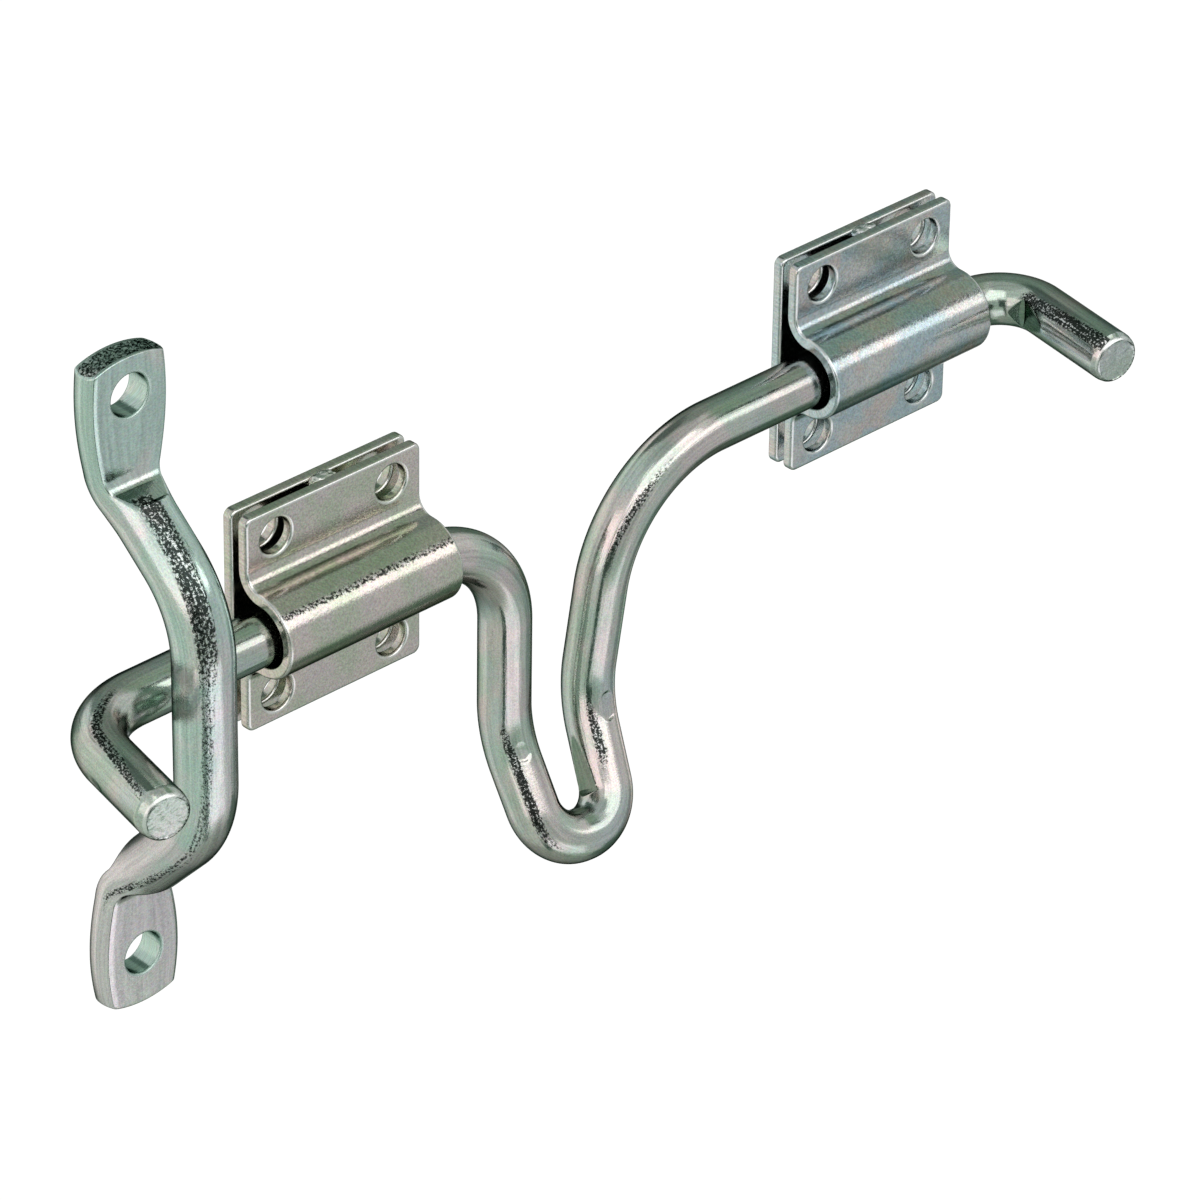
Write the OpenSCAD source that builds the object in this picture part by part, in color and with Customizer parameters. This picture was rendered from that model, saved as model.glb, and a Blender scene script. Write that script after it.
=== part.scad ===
// Sliding bolt latch. A bent round bolt turns and slides in two guides, and its
// hooked end reaches behind a strike that is bent from a heavier rod.
// X runs along the bolt towards its tail, Y into the door face, and Z up.
// The origin is the middle of the left guide's four holes, on the door face.

/* [Guide plates] */
// Width of a guide plate, along the bolt
plate_w = 51.6; // [42:0.1:66]
// Height of a guide plate
plate_h = 55.2; // [50:0.1:70]
// Thickness of the sheet that the plates are made of
plate_t = 2.7; // [2:0.1:3.5]
// Gap between the back plate and the flanges of the formed guide
plate_gap = 2.3; // [1:0.1:3.5]
// Radius of the rounded plate corners
corner_r = 2; // [0.5:0.1:4]
// Distance between the mounting holes along the bolt
hole_pitch_x = 34; // [26:0.1:42]
// Distance between the mounting holes up the plate
hole_pitch_z = 40.8; // [38:0.1:46]
// Diameter of the mounting holes in the plates
plate_hole_d = 8.8; // [5:0.1:9.5]

/* [Guide barrel] */
// Gap all round between a centred bolt and the inside of the barrel
barrel_play = 1.25; // [0.6:0.05:1.6]
// Distance from the front of the flanges out to the middle of the barrel
barrel_stand = 4.4; // [4:0.1:7]
// Radius in the hollow between a flange and the barrel
barrel_fillet_r = 4; // [2.5:0.1:4]

/* [Tack welds] */
// Length of the weld bead that joins the two plates at an edge
tack_len = 7; // [4:0.1:14]
// Radius of the weld bead
tack_r = 1.7; // [1.5:0.1:2.5]
// How far the middle of the bead lies inside the edge of the plates
tack_inset = 1.7; // [1.7:0.1:3]

/* [Bolt] */
// Diameter of the bolt rod
rod_d = 12.7; // [9.5:0.1:13.5]
// Gap under the bolt where it lies in the barrel
rod_seat_gap = 0.45; // [0.2:0.05:0.5]
// Lean of the bolt's seat from straight down towards the back plate
rod_seat_lean = 32; // [0:1:45]
// Chamfer on the sheared ends of the rod
rod_chamfer = 0.8; // [0.3:0.1:1.5]
// Length of the stretch in the left guide that slides without turning
journal_len = 40; // [20:1:42]

/* [Bolt handle] */
// Distance from the left guide out to the first leg of the handle
handle_lead = 22.2; // [20:0.1:40]
// Drop of the handle below the bolt, measured along its legs
handle_drop = 85.1; // [75:0.1:120]
// Width between the two corners at the bottom of the handle
handle_bottom_w = 20.4; // [20.4:0.1:50]
// Lean of the second leg from the vertical
handle_lean = 9.6; // [0:0.1:15]
// Radius of the rod's middle line where the bolt turns down into the handle
handle_head_r = 25.6; // [15:0.1:27]
// Radius of the two bends at the bottom of the handle
handle_bottom_r = 10.7; // [8:0.1:10.8]
// Radius where the second leg sweeps back to the bolt
handle_sweep_r = 35.4; // [20:0.1:42]
// Drop below the bolt at which the handle kicks outward
kick_drop = 56; // [50:0.1:60]
// Angle by which the lower handle kicks outward, for the fingers
kick_angle = 31; // [5:1:40]
// Radius of the kick in each leg
kick_r = 30.4; // [20:0.1:34]

/* [Bolt ends] */
// Free run of the bolt, from the sweep of the handle to the right guide
bolt_travel = 30.5; // [10:0.1:60]
// Straight run of the bolt beyond the left guide
nose_run = 36.2; // [34:0.1:60]
// Radius of the nose hook
nose_r = 20.1; // [14:0.1:24]
// Turn of the nose hook away from the bolt
nose_turn = 78; // [70:1:90]
// Straight length of the nose hook beyond its bend
nose_len = 25; // [5:0.1:30]
// Straight run of the bolt beyond the right guide
tail_run = 2.4; // [1:0.1:20]
// Radius of the tail hook
tail_r = 12.1; // [10:0.1:20]
// Turn of the tail hook away from the bolt
tail_turn = 99; // [70:1:100]
// Straight length of the tail hook beyond its bend
tail_len = 28; // [5:0.1:40]

/* [Strike] */
// Diameter of the strike rod
strike_d = 14.3; // [10:0.1:16]
// Distance from the strike's middle to the left guide
strike_gap_x = 31; // [25:0.1:34]
// Clear depth between the bolt and the strike bar
strike_clear = 4.4; // [3:0.1:10]
// Distance between the strike's mounting holes
strike_hole_pitch = 144; // [136:0.5:160]
// Diameter of the strike's mounting holes
strike_hole_d = 10.3; // [6:0.1:11]
// Thickness of the flattened ends
foot_t = 7; // [5:0.1:8]
// Width of the flattened ends at their holes
foot_w = 22.6; // [21:0.1:28]
// Width of the flattened ends where they meet their bends
neck_w = 18.6; // [15:0.1:20]
// Radius of the bulged edges of the flattened ends
foot_edge_r = 5; // [4.2:0.1:8]
// Distance from the upper hole to the upper end
foot_end_top = 9.6; // [7:0.1:14]
// Distance from the lower hole to the lower end
foot_end_bottom = 13; // [7:0.1:16]
// Radius of the curved cut across each end
foot_cut_r = 26; // [16:0.5:60]
// Height of the upper ramp's foot above the bolt
ramp_top_z = 50; // [48:0.1:58]
// Angle of the upper ramp from the vertical
ramp_top_angle = 50.5; // [46:0.5:56]
// Drop of the lower ramp's foot below the bolt
ramp_bottom_z = 53.2; // [50:0.1:60]
// Angle of the lower ramp from the vertical
ramp_bottom_angle = 44; // [42:1:52]
// Radius where a ramp meets its flattened end
foot_bend_r = 7.5; // [6:0.5:15]
// Radius where a ramp meets the upright bar
bar_bend_r = 27; // [15:0.5:28]
// Length over which the round rod spreads to a flattened end
spread_len = 9; // [6:0.5:12]

/* [Hidden] */
$fn = 64;
slice = 0.02;
cut = 1;
// A bend draws the rod a hair thinner, and it starts a little inside the straight rod.
bend_thinning = 0.04;
bend_lap = 1;

// Depths in front of the door face are negative Y.
guide_back_y = -(plate_t + plate_gap);
guide_face_y = guide_back_y - plate_t;
barrel_in_r = rod_d / 2 + barrel_play;
barrel_out_r = barrel_in_r + plate_t;
barrel_y = guide_face_y - max(barrel_stand, barrel_fillet_r);
rod_sink = barrel_play - rod_seat_gap;
rod_y = barrel_y + rod_sink * sin(rod_seat_lean);
rod_z = -rod_sink * cos(rod_seat_lean);

// The bolt's middle line, as the corners where its straight stretches would meet.
function setback(radius, turn) = radius * tan(turn / 2);
function below(x, drop) = drop <= kick_drop
    ? [x, rod_y, rod_z - drop]
    : [x, rod_y - (drop - kick_drop) * sin(kick_angle),
       rod_z - kick_drop - (drop - kick_drop) * cos(kick_angle)];

leg_x = plate_w / 2 + handle_lead;
bottom_tilt = handle_lean / 2;
bottom_end_x = leg_x + handle_bottom_w * cos(bottom_tilt);
bottom_end_drop = handle_drop + handle_bottom_w * sin(bottom_tilt);
leg_end_x = bottom_end_x + bottom_end_drop * tan(handle_lean);
kick_end_x = leg_end_x - kick_drop * tan(handle_lean);
sweep_end_x = leg_end_x + setback(handle_sweep_r, 90 - handle_lean);
guide_pitch = sweep_end_x + bolt_travel + plate_w / 2;
tail_x = guide_pitch + plate_w / 2 + tail_run + setback(tail_r, tail_turn);
tail_reach = setback(tail_r, tail_turn) + tail_len - rod_chamfer;
nose_x = -(plate_w / 2 + nose_run + setback(nose_r, nose_turn));
nose_reach = setback(nose_r, nose_turn) + nose_len - rod_chamfer;

nose_path = [
    [nose_x - nose_reach * cos(nose_turn), rod_y - nose_reach * sin(nose_turn), rod_z],
    [nose_x, rod_y, rod_z],
    [-journal_len / 2, rod_y, rod_z]
];
handle_path = [
    [journal_len / 2, rod_y, rod_z],
    [leg_x, rod_y, rod_z],
    below(leg_x, kick_drop),
    below(leg_x, handle_drop),
    below(bottom_end_x, bottom_end_drop),
    below(kick_end_x, kick_drop),
    [leg_end_x, rod_y, rod_z],
    [tail_x, rod_y, rod_z],
    [tail_x + tail_reach * cos(tail_turn), rod_y - tail_reach * sin(tail_turn), rod_z]
];
handle_radii = [
    handle_head_r, kick_r, handle_bottom_r, handle_bottom_r, kick_r, handle_sweep_r, tail_r
];

// The strike's middle line, in the plane across the bolt.
strike_x = -(plate_w / 2 + strike_gap_x);
foot_y = -foot_t / 2;
bar_y = rod_y - rod_d / 2 - strike_clear - strike_d / 2;
foot_top_z = rod_z + ramp_top_z;
foot_bottom_z = rod_z - ramp_bottom_z;
bar_top_z = foot_top_z - (foot_y - bar_y) / tan(ramp_top_angle);
bar_bottom_z = foot_bottom_z + (foot_y - bar_y) / tan(ramp_bottom_angle);
strike_hole_top_z = rod_z + strike_hole_pitch / 2;
strike_hole_bottom_z = rod_z - strike_hole_pitch / 2;

// Helpers for bent rods

function unit(v) = v / norm(v);
function turn_at(a, b, c) = acos(unit(b - a) * unit(c - b));

// Carries its children from the origin to a point, with their X and Y along two directions.
module place(point, x_way, y_way) {
    z_way = cross(x_way, y_way);
    multmatrix([
        [x_way.x, y_way.x, z_way.x, point.x],
        [x_way.y, y_way.y, z_way.y, point.y],
        [x_way.z, y_way.z, z_way.z, point.z],
        [0, 0, 0, 1]
    ])
        children();
}

// Carries its children from the Z axis onto the line from one point to another.
module stand_along(from, to) {
    way = unit(to - from);
    translate(from)
        rotate([0, acos(way.z), atan2(way.y, way.x)])
            children();
}

module straight(from, to, d) {
    stand_along(from, to)
        cylinder(d = d, h = norm(to - from));
}

// One bend of a middle line at corner b, swept with a flat section.
module bend(a, b, c, radius) {
    way_in = unit(b - a);
    turn = turn_at(a, b, c);
    start = b - way_in * setback(radius, turn);
    inward = unit(unit(c - b) - way_in * (unit(c - b) * way_in));
    place(start + inward * radius, -inward, way_in)
        rotate(-bend_lap)
            rotate_extrude(angle = turn + 2 * bend_lap)
                translate([radius, 0])
                    children();
}

// A round rod along a middle line, with a bend at each inner corner.
module bent_rod(path, radii, d) {
    last = len(path) - 1;
    backs = [
        for (i = [0:last])
            i == 0 || i == last ? 0 : setback(radii[i - 1], turn_at(path[i - 1], path[i], path[i + 1]))
    ];
    for (i = [0:last - 1]) {
        way = unit(path[i + 1] - path[i]);
        straight(path[i] + way * backs[i], path[i + 1] - way * backs[i + 1], d);
    }
    for (i = [1:last - 1])
        bend(path[i - 1], path[i], path[i + 1], radii[i - 1])
            circle(d = d - bend_thinning);
}

// The chamfered end of the rod, standing on the last straight stretch.
module rod_end(from, tip) {
    root_r = (rod_d - bend_thinning) / 2;
    stand_along(tip, tip + unit(tip - from))
        rotate_extrude()
            polygon([
                [0, -cut], [root_r, -cut], [root_r, 0],
                [rod_d / 2 - rod_chamfer, rod_chamfer], [0, rod_chamfer]
            ]);
}

// Helpers for plates

module rounded_rect(w, h, r) {
    square([w - 2 * r, h], center = true);
    square([w, h - 2 * r], center = true);
    for (x = [-1, 1], z = [-1, 1])
        translate([x * (w / 2 - r), z * (h / 2 - r)])
            circle(r = r);
}

// Stands an outline drawn in X and Z up as a slab from a near to a far depth.
module slab(near_y, far_y) {
    translate([0, near_y, 0])
        rotate([90, 0, 0])
            linear_extrude(near_y - far_y)
                children();
}

// Runs an outline drawn in Y and Z along the bolt.
module along_bolt(length) {
    translate([-length / 2, 0, 0])
        rotate([90, 0, 90])
            linear_extrude(length)
                children();
}

module plate_holes() {
    for (x = [-1, 1], z = [-1, 1])
        translate([x * hole_pitch_x / 2, cut, z * hole_pitch_z / 2])
            rotate([90, 0, 0])
                cylinder(d = plate_hole_d, h = cut - guide_face_y + cut);
}

module plate_outline() {
    rounded_rect(plate_w, plate_h, corner_r);
}

// Guide

// Half of the formed section: half the barrel, its hollow fillet and one flange.
module guide_half_section() {
    fillet_y = guide_face_y - barrel_fillet_r;
    fillet_z = barrel_out_r + barrel_fillet_r;
    intersection() {
        translate([barrel_y, 0])
            difference() {
                circle(r = barrel_out_r);
                circle(r = barrel_in_r);
            }
        translate([barrel_y - 2 * barrel_out_r, 0])
            square(2 * barrel_out_r);
    }
    translate([barrel_y, barrel_in_r])
        square([fillet_y - barrel_y, plate_t]);
    intersection() {
        translate([fillet_y, fillet_z])
            difference() {
                circle(r = barrel_fillet_r + plate_t);
                circle(r = barrel_fillet_r);
            }
        translate([fillet_y, fillet_z - 2 * barrel_out_r])
            square(2 * barrel_out_r);
    }
    translate([guide_face_y, fillet_z])
        square([plate_t, plate_h / 2 - fillet_z]);
}

module formed_guide() {
    difference() {
        intersection() {
            along_bolt(plate_w) {
                guide_half_section();
                mirror([0, 1])
                    guide_half_section();
            }
            slab(0, barrel_y - 2 * barrel_out_r)
                plate_outline();
        }
        plate_holes();
    }
}

module back_plate() {
    difference() {
        slab(0, -plate_t)
            plate_outline();
        plate_holes();
    }
}

// A short bead in the gap between the plates, at the middle of the upper and lower edge.
module tack_welds() {
    for (side = [-1, 1])
        translate([0, 0, side * (plate_h / 2 - tack_inset)])
            intersection() {
                translate([-tack_len / 2, (guide_back_y - plate_t) / 2, 0])
                    rotate([0, 90, 0])
                        cylinder(r = tack_r, h = tack_len);
                translate([-tack_len, guide_back_y, -2 * tack_r])
                    cube([2 * tack_len, plate_gap, 4 * tack_r]);
            }
}

// Strike

// A flat strip from the middle out to a bulged edge.
module strip_to_edge(reach, t) {
    bulge = foot_edge_r - sqrt(foot_edge_r ^ 2 - t ^ 2 / 4);
    translate([0, -t / 2])
        square([reach - bulge, t]);
    intersection() {
        translate([0, -t / 2])
            square([reach, t]);
        translate([reach - foot_edge_r, 0])
            circle(r = foot_edge_r);
    }
}

// The flattened rod at its neck.
module neck_section(thinning) {
    for (side = [0, 1])
        mirror([side, 0])
            strip_to_edge((neck_w - thinning) / 2, foot_t - thinning);
}

// A flat with bowed sides, widest at the hole and as wide as the neck where the bend starts.
module bowed_flat(hole_z, neck_z) {
    narrowing = (foot_w - neck_w) / 2;
    bow_r = ((hole_z - neck_z) ^ 2 + narrowing ^ 2) / (2 * narrowing);
    intersection_for(side = [-1, 1])
        translate([side * (bow_r - foot_w / 2), foot_y, hole_z])
            rotate([90, 0, 0])
                rotate_extrude($fn = 180)
                    strip_to_edge(bow_r, foot_t);
}

// One flattened end: its flat with the hole, its bend, and the spread to the round rod.
module foot(hole_z, end_z, ramp_z, ramp_angle) {
    side = sign(end_z - ramp_z);
    back = setback(foot_bend_r, ramp_angle);
    ramp_way = [0, -sin(ramp_angle), -side * cos(ramp_angle)];
    corner = [0, foot_y, ramp_z];
    neck_z = ramp_z + side * back;
    bend_end = corner + ramp_way * back;
    round_start = bend_end + ramp_way * spread_len;
    difference() {
        intersection() {
            bowed_flat(hole_z, neck_z);
            translate([-foot_w, -foot_t - cut, min(end_z, neck_z)])
                cube([2 * foot_w, foot_t + 2 * cut, abs(end_z - neck_z)]);
            translate([0, cut, end_z - side * foot_cut_r])
                rotate([90, 0, 0])
                    cylinder(r = foot_cut_r, h = foot_t + 2 * cut, $fn = 96);
        }
        translate([0, cut, hole_z])
            rotate([90, 0, 0])
                cylinder(d = strike_hole_d, h = foot_t + 2 * cut);
    }
    bend([0, foot_y, end_z], corner, bend_end, foot_bend_r)
        rotate(90)
            neck_section(bend_thinning);
    hull() {
        place(bend_end, [1, 0, 0], unit(cross(ramp_way, [1, 0, 0])))
            linear_extrude(slice)
                neck_section(2 * bend_thinning, $fn = 32);
        stand_along(round_start + ramp_way * cut, round_start + ramp_way * 2 * cut)
            cylinder(d = strike_d - bend_thinning, h = slice, $fn = 32);
    }
}

// Left guide, right guide and the rest, each in its place

module left_back_plate() {
    color([0.70, 0.71, 0.68])
        back_plate();
}

module left_guide() {
    color([0.74, 0.73, 0.70])
        formed_guide();
}

module left_tack_welds() {
    color([0.78, 0.78, 0.76])
        tack_welds();
}

module right_back_plate() {
    color([0.70, 0.71, 0.68])
        translate([guide_pitch, 0, 0])
            back_plate();
}

module right_guide() {
    color([0.70, 0.73, 0.75])
        translate([guide_pitch, 0, 0])
            formed_guide();
}

module right_tack_welds() {
    color([0.78, 0.78, 0.76])
        translate([guide_pitch, 0, 0])
            tack_welds();
}

module strike() {
    top_back = setback(foot_bend_r, ramp_top_angle) + spread_len;
    bottom_back = setback(foot_bend_r, ramp_bottom_angle) + spread_len;
    bar_path = [
        [0, foot_y - top_back * sin(ramp_top_angle), foot_top_z - top_back * cos(ramp_top_angle)],
        [0, bar_y, bar_top_z],
        [0, bar_y, bar_bottom_z],
        [0, foot_y - bottom_back * sin(ramp_bottom_angle),
         foot_bottom_z + bottom_back * cos(ramp_bottom_angle)]
    ];
    color([0.62, 0.68, 0.66])
        translate([strike_x, 0, 0]) {
            bent_rod(bar_path, [bar_bend_r, bar_bend_r], strike_d);
            foot(strike_hole_top_z, strike_hole_top_z + foot_end_top, foot_top_z, ramp_top_angle);
            foot(strike_hole_bottom_z, strike_hole_bottom_z - foot_end_bottom, foot_bottom_z, ramp_bottom_angle);
        }
}

module bolt_nose() {
    color([0.68, 0.71, 0.66]) {
        bent_rod(nose_path, [nose_r], rod_d);
        rod_end(nose_path[1], nose_path[0]);
    }
}

module bolt_journal() {
    color([0.68, 0.71, 0.66])
        straight([-journal_len / 2, rod_y, rod_z], [journal_len / 2, rod_y, rod_z], rod_d);
}

module bolt_handle() {
    last = len(handle_path) - 1;
    color([0.68, 0.71, 0.66]) {
        bent_rod(handle_path, handle_radii, rod_d);
        rod_end(handle_path[last - 1], handle_path[last]);
    }
}

left_back_plate();
left_guide();
left_tack_welds();
right_back_plate();
right_guide();
right_tack_welds();
strike();
bolt_nose();
bolt_journal();
bolt_handle();
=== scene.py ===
# Looks of a sliding bolt latch: a bent, zinc-plated bolt, its two formed guides and its strike.
# Lengths are in millimetres until a mesh is made, and they repeat the sizes of the CAD source.
import math

import bmesh
import bpy
import numpy as np
from mathutils import Matrix, Vector, noise


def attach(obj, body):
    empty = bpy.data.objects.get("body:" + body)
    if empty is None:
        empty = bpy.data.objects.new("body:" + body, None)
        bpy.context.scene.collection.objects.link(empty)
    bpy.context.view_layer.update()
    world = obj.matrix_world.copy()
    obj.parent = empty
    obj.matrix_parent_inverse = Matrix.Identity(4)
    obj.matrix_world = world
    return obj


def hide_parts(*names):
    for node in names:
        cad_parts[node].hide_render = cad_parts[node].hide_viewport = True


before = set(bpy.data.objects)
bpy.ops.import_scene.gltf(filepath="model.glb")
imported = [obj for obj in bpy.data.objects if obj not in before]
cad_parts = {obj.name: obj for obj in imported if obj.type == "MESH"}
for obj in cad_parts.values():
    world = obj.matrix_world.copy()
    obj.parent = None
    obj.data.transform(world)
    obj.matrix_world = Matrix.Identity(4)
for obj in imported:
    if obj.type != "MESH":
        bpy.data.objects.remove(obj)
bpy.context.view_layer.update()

MM = 0.001

# Sizes of the CAD source
PLATE_W = 51.6
PLATE_H = 55.2
PLATE_T = 2.7
PLATE_GAP = 2.3
CORNER_R = 2
HOLE_PITCH_X = 34
HOLE_PITCH_Z = 40.8
PLATE_HOLE_D = 8.8
BARREL_PLAY = 1.25
BARREL_STAND = 4.4
BARREL_FILLET_R = 4
ROD_D = 12.7
ROD_SEAT_GAP = 0.45
ROD_SEAT_LEAN = 32
ROD_CHAMFER = 0.8
HANDLE_LEAD = 22.2
HANDLE_DROP = 85.1
HANDLE_BOTTOM_W = 20.4
HANDLE_LEAN = 9.6
HANDLE_HEAD_R = 25.6
HANDLE_BOTTOM_R = 10.7
HANDLE_SWEEP_R = 35.4
KICK_DROP = 56
KICK_ANGLE = 31
KICK_R = 30.4
BOLT_TRAVEL = 30.5
NOSE_RUN = 36.2
NOSE_R = 20.1
NOSE_TURN = 78
NOSE_LEN = 25
TAIL_RUN = 2.4
TAIL_R = 12.1
TAIL_TURN = 99
TAIL_LEN = 28
STRIKE_D = 14.3
STRIKE_GAP_X = 31
STRIKE_CLEAR = 4.4
STRIKE_HOLE_PITCH = 144
STRIKE_HOLE_D = 10.3
FOOT_T = 7
FOOT_W = 22.6
NECK_W = 18.6
FOOT_EDGE_R = 5
FOOT_END_TOP = 9.6
FOOT_END_BOTTOM = 13
FOOT_CUT_R = 26
RAMP_TOP_Z = 50
RAMP_TOP_ANGLE = 50.5
RAMP_BOTTOM_Z = 53.2
RAMP_BOTTOM_ANGLE = 44
FOOT_BEND_R = 7.5
BAR_BEND_R = 27
SPREAD_LEN = 9
ROD_SLACK = 0.04

# Places that follow from them. Depths in front of the door face are negative Y.
GUIDE_FACE_Y = -(2 * PLATE_T + PLATE_GAP)
BARREL_OUT_R = ROD_D / 2 + BARREL_PLAY + PLATE_T
BARREL_Y = GUIDE_FACE_Y - BARREL_STAND
ROD_SINK = BARREL_PLAY - ROD_SEAT_GAP
ROD_Y = BARREL_Y + ROD_SINK * math.sin(math.radians(ROD_SEAT_LEAN))
ROD_Z = -ROD_SINK * math.cos(math.radians(ROD_SEAT_LEAN))


# Middle lines

def unit(v):
    return v / np.linalg.norm(v)


def setback(radius, degrees):
    return radius * math.tan(math.radians(degrees) / 2)


def below(x, drop):
    """A point of the handle, which kicks outward below the kick."""
    lower = max(drop - KICK_DROP, 0)
    kick = math.radians(KICK_ANGLE)
    return (
        x,
        ROD_Y - lower * math.sin(kick),
        ROD_Z - min(drop, KICK_DROP) - lower * math.cos(kick),
    )


class Line:
    """A middle line with rounded corners, sampled every step or finer, and closer in its bends."""

    def __init__(self, corners, radii, step, bend_step):
        self.points, self.ways, self.bends = [], [], []
        corners = [np.array(corner, float) for corner in corners]
        at = corners[0]
        for i in range(1, len(corners)):
            way = unit(corners[i] - corners[i - 1])
            if i == len(corners) - 1:
                self.straight(at, corners[i], way, step)
                break
            ahead = unit(corners[i + 1] - corners[i])
            turn = math.acos(np.clip(way @ ahead, -1, 1))
            back = radii[i - 1] * math.tan(turn / 2)
            self.straight(at, corners[i] - way * back, way, step)
            self.arc(corners[i] - way * back, way, ahead, turn, radii[i - 1], bend_step)
            at = corners[i] + ahead * back
        self.points = np.array(self.points)
        self.ways = np.array(self.ways)
        steps = np.linalg.norm(np.diff(self.points, axis=0), axis=1)
        self.run = np.concatenate([[0], np.cumsum(steps)])
        self.bends = [tuple(self.run[i] for i in bend) for bend in self.bends]

    def straight(self, start, stop, way, step):
        count = max(1, math.ceil(np.linalg.norm(stop - start) / step))
        for i in range(0 if not self.points else 1, count + 1):
            self.points.append(start + (stop - start) * i / count)
            self.ways.append(way)

    def arc(self, start, way, ahead, turn, radius, step):
        inward = unit(ahead - way * (ahead @ way))
        count = math.ceil(radius * turn / step)
        first = len(self.points) - 1
        for i in range(1, count + 1):
            angle = turn * i / count
            out = way * math.sin(angle) + inward * (1 - math.cos(angle))
            self.points.append(start + radius * out)
            self.ways.append(way * math.cos(angle) + inward * math.sin(angle))
        self.bends.append((first, len(self.points) - 1))

    def frames(self, side):
        """Two directions across the line that don't twist, the first one starting near side."""
        across = []
        for way in self.ways:
            side = unit(side - way * (side @ way))
            across.append(side)
        across = np.array(across)
        return across, np.cross(self.ways, across)


# Meshes

def make_object(name, verts, faces, smooth=38, **layers):
    """An object from points in millimetres. Each layer is a value per point, for the material."""
    mesh = bpy.data.meshes.new(name)
    mesh.from_pydata([Vector(v) * MM for v in verts], [], faces)
    for label, values in layers.items():
        values = np.asarray(values, float)
        kind = "FLOAT_VECTOR" if values.ndim == 2 else "FLOAT"
        layer = mesh.attributes.new(label, kind, "POINT")
        layer.data.foreach_set("vector" if values.ndim == 2 else "value", values.ravel())
    obj = bpy.data.objects.new(name, mesh)
    bpy.context.scene.collection.objects.link(obj)
    finish_mesh(obj, smooth)
    return obj


def finish_mesh(obj, smooth=38):
    form = bmesh.new()
    form.from_mesh(obj.data)
    bmesh.ops.recalc_face_normals(form, faces=form.faces)
    form.to_mesh(obj.data)
    form.free()
    obj.data.shade_smooth()
    obj.data.set_sharp_from_angle(angle=math.radians(smooth))


def even_normals(obj):
    shading = obj.modifiers.new("even normals", "WEIGHTED_NORMAL")
    shading.keep_sharp = True
    shading.weight = 60


def lumps(point, size, seed=0.0):
    """Smooth random value between about -1 and 1 that changes over a given size."""
    return noise.noise(Vector(point) / size + Vector((seed, seed, seed)))


def grid_faces(rows, around, closed=True):
    wrap = around if closed else around - 1
    return [
        (i * around + j, i * around + (j + 1) % around,
         (i + 1) * around + (j + 1) % around, (i + 1) * around + j)
        for i in range(rows - 1) for j in range(wrap)
    ]


# Rings of a sheared end: how many roll over its edge, the parts of its face's radius that the others
# lie at, and how far apart along the rod the material takes the rings to be
ROLL_RINGS = 7
FACE_PARTS = (0.95, 0.86, 0.76, 0.66, 0.56, 0.46, 0.36, 0.26, 0.16, 0.07)
END_STEP = 0.2

# How rough the face and the rolled edge are, how coarse an end is, with painted dark reflection and glints
# in its colour, and how strong its painted highlight is: on the widest side of its rolled edge, on the other
# side, and on its face
FACE_ROUGH = 0.45
ROLL_ROUGH = 0.1
END_COARSE_AND_PAINTED_REFLECTION = (0.0, 0.8, 0.1)
END_PAINTED_HIGHLIGHT = (0.95, 0.1, 0.15)


def with_ends(values, first, last):
    """Values per ring of the rod, with the outer ones repeated for the rings of both ends."""
    return np.concatenate([
        np.repeat(values[:1], len(first), axis=0),
        values,
        np.repeat(values[-1:], len(last), axis=0),
    ])


def bent_rod(line, radius, around, ends, press):
    """A rod along a line with sheared ends. Returns its points, faces and layers for make_object."""
    side, other = line.frames(np.array([0.0, -1.0, 0.0]))
    turn = np.arange(around) * 2 * math.pi / around
    spokes = (
        side[:, None, :] * np.cos(turn)[None, :, None]
        + other[:, None, :] * np.sin(turn)[None, :, None]
    )
    skin = line.points[:, None, :] + radius * spokes
    skin, wrinkle, pressed = press(skin, spokes, line)
    first = end_rings(skin[0], line.points[0], -line.ways[0], *ends[0])
    last = end_rings(skin[-1], line.points[-1], line.ways[-1], *ends[1])
    rings = np.concatenate([first[::-1], skin, last])
    run = np.concatenate([
        line.run[0] - END_STEP * np.arange(len(first), 0, -1),
        line.run,
        line.run[-1] + END_STEP * np.arange(1, len(last) + 1),
    ])
    hubs = [rings[0].mean(axis=0), rings[-1].mean(axis=0)]
    ways = with_ends(line.ways, first, last)
    out = rings - with_ends(line.points, first, last)[:, None, :]
    out -= (out * ways[:, None, :]).sum(axis=2)[:, :, None] * ways[:, None, :]
    wide = np.linalg.norm(out, axis=2)
    unrolled = np.stack([wide * np.cos(turn), wide * np.sin(turn), np.repeat(run[:, None], around, 1)], 2)
    sheared = np.repeat(
        np.concatenate([end_rough(first)[::-1], np.zeros(len(skin)), end_rough(last)]), around
    )
    faces = grid_faces(len(rings), around)
    total = len(rings) * around
    for ring, hub in ((0, total), (len(rings) - 1, total + 1)):
        for j in range(around):
            faces.append((ring * around + j, ring * around + (j + 1) % around, hub))
    # Layers carried over the ends: coarse skin with painted dark reflection, and a painted highlight on the
    # rolled edge
    wrinkle, worn = (
        np.concatenate([
            end_layer(first, spokes[0], ends[0][2], *over_end)[::-1],
            layer,
            end_layer(last, spokes[-1], ends[1][2], *over_end),
        ])
        for layer, over_end in ((wrinkle, END_COARSE_AND_PAINTED_REFLECTION), (np.zeros(skin.shape[:2]), END_PAINTED_HIGHLIGHT))
    )
    verts = np.vstack([rings.reshape(-1, 3), hubs])
    layers = {
        "straight": np.vstack([unrolled.reshape(-1, 3), [[0, 0, run[0]], [0, 0, run[-1]]]]),
        "sheared": np.concatenate([sheared, [FACE_ROUGH, FACE_ROUGH]]),
    }
    for label, layer in (("wrinkle", wrinkle), ("worn", worn), ("pressed", with_ends(pressed, first, last))):
        layers[label] = np.concatenate([layer.ravel(), [0.0, 0.0]])
    return verts, faces, layers


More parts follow.
